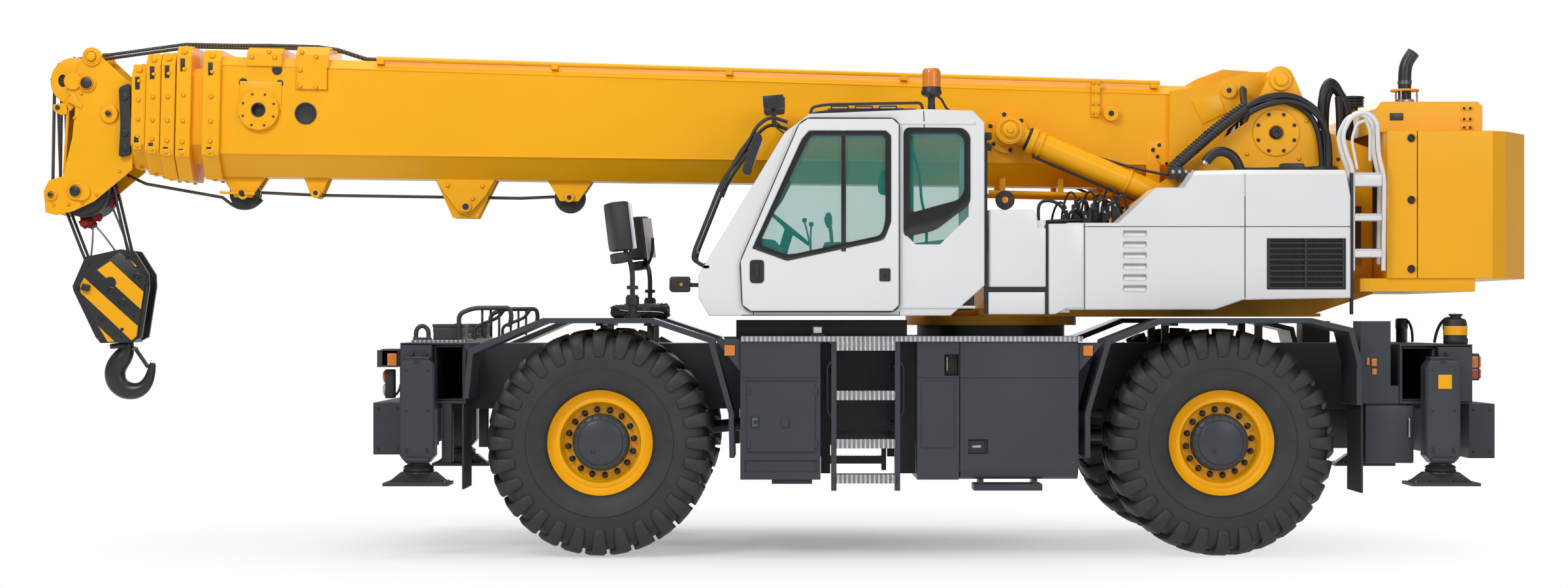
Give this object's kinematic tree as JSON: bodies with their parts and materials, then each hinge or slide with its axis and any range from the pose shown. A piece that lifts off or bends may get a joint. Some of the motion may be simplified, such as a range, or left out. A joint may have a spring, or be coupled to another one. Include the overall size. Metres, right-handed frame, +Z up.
{
  "type": "mobile crane",
  "caption": "Two-axle rough-terrain crane with a telescoping boom, side cab, outriggers, tail weight and a hanging hook block.",
  "frame": {"origin": "on the ground, midway between the front and rear extremes, on the middle plane", "axes": "+X to the rear, -Y to the cab side, +Z up"},
  "size_m": [12.632, 3.432, 4.2932],
  "materials": {
    "tyre": "matt",
    "yellow_paint": "gloss",
    "dark_grey_paint": "satin",
    "black_paint": "satin",
    "chequer_plate": "brushed",
    "black_plastic": "matt",
    "rubber": "matt",
    "white_paint": "gloss",
    "glass": "tinted",
    "steel": "satin"
  },
  "bodies": {
    "carrier": {"carrier_frame": "dark_grey_paint", "axles": "dark_grey_paint", "fenders": "dark_grey_paint", "side_lockers": "dark_grey_paint", "deck_plates": "chequer_plate", "ladders": "black_paint", "slew_ring": "dark_grey_paint", "mirror_stands": "black_plastic", "carrier_lamps": "dark_grey_paint", "deck_fittings": "dark_grey_paint", "mud_flaps": "rubber"},
    "upper": {"turntable": "yellow_paint", "cab_shell": "white_paint", "cab_glass": "glass", "cab_interior": "black_plastic", "machinery_housing": "white_paint", "housing_grille": "black_plastic", "counterweight": "yellow_paint", "engine_hood": "yellow_paint", "engine_block": "black_paint", "exhaust": "steel", "rear_ladder": "white_paint", "cab_trim": "black_plastic"},
    "door": {"cab_door": "white_paint", "door_glass": "glass"},
    "main_winch": {"drum_main": "black_paint"},
    "aux_winch": {"drum_aux": "black_paint"},
    "boom": {"boom_base": "yellow_paint", "boom_sheaves": "black_paint"},
    "tele_1": {"tele_1": "yellow_paint"},
    "tele_2": {"tele_2": "yellow_paint"},
    "tele_3": {"tele_3": "yellow_paint"},
    "tele_4": {"tele_4": "yellow_paint", "boom_head": "yellow_paint", "head_sheaves": "black_paint"},
    "lift_barrels": {"luff_barrels": "yellow_paint"},
    "lift_rods": {"luff_rods": "yellow_paint"},
    "hook_block": {"hook_block": "black_paint"},
    "hook": {"hook": "steel"},
    "knuckle_fl": {"knuckle_fl": "dark_grey_paint"},
    "wheel_fl": {"tyre_fl": "tyre", "rim_fl": "yellow_paint"},
    "beam_fl": {"beam_fl": "dark_grey_paint"},
    "jack_fl": {"jack_fl": "dark_grey_paint"},
    "knuckle_fr": {"knuckle_fr": "dark_grey_paint"},
    "wheel_fr": {"tyre_fr": "tyre", "rim_fr": "yellow_paint"},
    "beam_fr": {"beam_fr": "dark_grey_paint"},
    "jack_fr": {"jack_fr": "dark_grey_paint"},
    "knuckle_rl": {"knuckle_rl": "dark_grey_paint"},
    "wheel_rl": {"tyre_rl": "tyre", "rim_rl": "yellow_paint"},
    "beam_rl": {"beam_rl": "dark_grey_paint"},
    "jack_rl": {"jack_rl": "dark_grey_paint"},
    "knuckle_rr": {"knuckle_rr": "dark_grey_paint"},
    "wheel_rr": {"tyre_rr": "tyre", "rim_rr": "yellow_paint"},
    "beam_rr": {"beam_rr": "dark_grey_paint"},
    "jack_rr": {"jack_rr": "dark_grey_paint"}
  },
  "joints": [
    {"name": "steer_fl", "type": "hinge", "parent": "carrier", "child": "knuckle_fl", "pos_m": [-1.433, -1.08, 0.935], "axis": [0, 0, 1], "range_deg": [-24, 24]},
    {"name": "roll_fl", "type": "hinge", "parent": "knuckle_fl", "child": "wheel_fl", "pos_m": [-1.433, -1.22504, 0.935], "axis": [0, 1, 0], "continuous": true},
    {"name": "extend_beam_fl", "type": "slide", "parent": "carrier", "child": "beam_fl", "axis": [0, -1, 0], "range_m": [0, 2.1]},
    {"name": "lower_jack_fl", "type": "slide", "parent": "beam_fl", "child": "jack_fl", "axis": [0, 0, -1], "range_m": [0, 0.64]},
    {"name": "steer_fr", "type": "hinge", "parent": "carrier", "child": "knuckle_fr", "pos_m": [-1.433, 1.08, 0.935], "axis": [0, 0, 1], "range_deg": [-24, 24]},
    {"name": "roll_fr", "type": "hinge", "parent": "knuckle_fr", "child": "wheel_fr", "pos_m": [-1.433, 1.22504, 0.935], "axis": [0, 1, 0], "continuous": true},
    {"name": "extend_beam_fr", "type": "slide", "parent": "carrier", "child": "beam_fr", "axis": [0, 1, 0], "range_m": [0, 2.1]},
    {"name": "lower_jack_fr", "type": "slide", "parent": "beam_fr", "child": "jack_fr", "axis": [0, 0, -1], "range_m": [0, 0.64]},
    {"name": "steer_rl", "type": "hinge", "parent": "carrier", "child": "knuckle_rl", "pos_m": [3.644, -1.08, 0.935], "axis": [0, 0, 1], "range_deg": [-24, 24]},
    {"name": "roll_rl", "type": "hinge", "parent": "knuckle_rl", "child": "wheel_rl", "pos_m": [3.644, -1.22504, 0.935], "axis": [0, 1, 0], "continuous": true},
    {"name": "extend_beam_rl", "type": "slide", "parent": "carrier", "child": "beam_rl", "axis": [0, -1, 0], "range_m": [0, 2.1]},
    {"name": "lower_jack_rl", "type": "slide", "parent": "beam_rl", "child": "jack_rl", "axis": [0, 0, -1], "range_m": [0, 0.64]},
    {"name": "steer_rr", "type": "hinge", "parent": "carrier", "child": "knuckle_rr", "pos_m": [3.644, 1.08, 0.935], "axis": [0, 0, 1], "range_deg": [-24, 24]},
    {"name": "roll_rr", "type": "hinge", "parent": "knuckle_rr", "child": "wheel_rr", "pos_m": [3.644, 1.22504, 0.935], "axis": [0, 1, 0], "continuous": true},
    {"name": "extend_beam_rr", "type": "slide", "parent": "carrier", "child": "beam_rr", "axis": [0, 1, 0], "range_m": [0, 2.1]},
    {"name": "lower_jack_rr", "type": "slide", "parent": "beam_rr", "child": "jack_rr", "axis": [0, 0, -1], "range_m": [0, 0.64]},
    {"name": "slew", "type": "hinge", "parent": "carrier", "child": "upper", "pos_m": [1.87, 0, 1.895], "axis": [0, 0, 1], "continuous": true},
    {"name": "slide_door", "type": "slide", "parent": "upper", "child": "door", "axis": [1, 0, 0], "range_m": [0, 0.6]},
    {"name": "turn_main_winch", "type": "hinge", "parent": "upper", "child": "main_winch", "pos_m": [4.225, 0, 3.52], "axis": [0, 1, 0], "continuous": true},
    {"name": "turn_aux_winch", "type": "hinge", "parent": "upper", "child": "aux_winch", "pos_m": [4.7, 0, 3.18], "axis": [0, 1, 0], "continuous": true},
    {"name": "luff", "type": "hinge", "parent": "upper", "child": "boom", "pos_m": [4.264, 0, 3.97], "axis": [0, 1, 0], "range_deg": [-2, 78]},
    {"name": "swing_lift_barrels", "type": "hinge", "parent": "upper", "child": "lift_barrels", "pos_m": [3.686, 0, 2.82], "axis": [0, 1, 0], "range_deg": [-2.08, 61.98]},
    {"name": "extend_lift_rods", "type": "slide", "parent": "lift_barrels", "child": "lift_rods", "axis": [-0.9194, 0, 0.3933], "range_m": [-0.0413, 1.4597]},
    {"name": "telescope_1", "type": "slide", "parent": "boom", "child": "tele_1", "axis": [-0.9998, 0, 0.0216], "range_m": [0, 7]},
    {"name": "telescope_2", "type": "slide", "parent": "tele_1", "child": "tele_2", "axis": [-0.9998, 0, 0.0216], "range_m": [0, 7]},
    {"name": "telescope_3", "type": "slide", "parent": "tele_2", "child": "tele_3", "axis": [-0.9998, 0, 0.0216], "range_m": [0, 7]},
    {"name": "telescope_4", "type": "slide", "parent": "tele_3", "child": "tele_4", "axis": [-0.9998, 0, 0.0216], "range_m": [0, 7]},
    {"name": "swing_hook_block", "type": "hinge", "parent": "tele_4", "child": "hook_block", "pos_m": [-5.984, 0, 3.043], "axis": [0, 1, 0], "range_deg": [-55.5, 2.5]},
    {"name": "turn_hook", "type": "hinge", "parent": "hook_block", "child": "hook", "pos_m": [-5.722, 0, 1.738], "axis": [-0.0995, 0, 0.995], "continuous": true}
  ],
  "couplings": [
    {"joint": "steer_fr", "follows": "steer_fl", "ratio": 1},
    {"joint": "steer_rr", "follows": "steer_rl", "ratio": 1},
    {"joint": "swing_lift_barrels", "follows": "luff", "ratio": 0.78825},
    {"joint": "extend_lift_rods", "follows": "luff", "m_per_rad": 1.0693},
    {"joint": "telescope_2", "follows": "telescope_1", "ratio": 1},
    {"joint": "telescope_3", "follows": "telescope_1", "ratio": 1},
    {"joint": "telescope_4", "follows": "telescope_1", "ratio": 1},
    {"joint": "swing_hook_block", "follows": "luff", "ratio": -0.7}
  ]
}
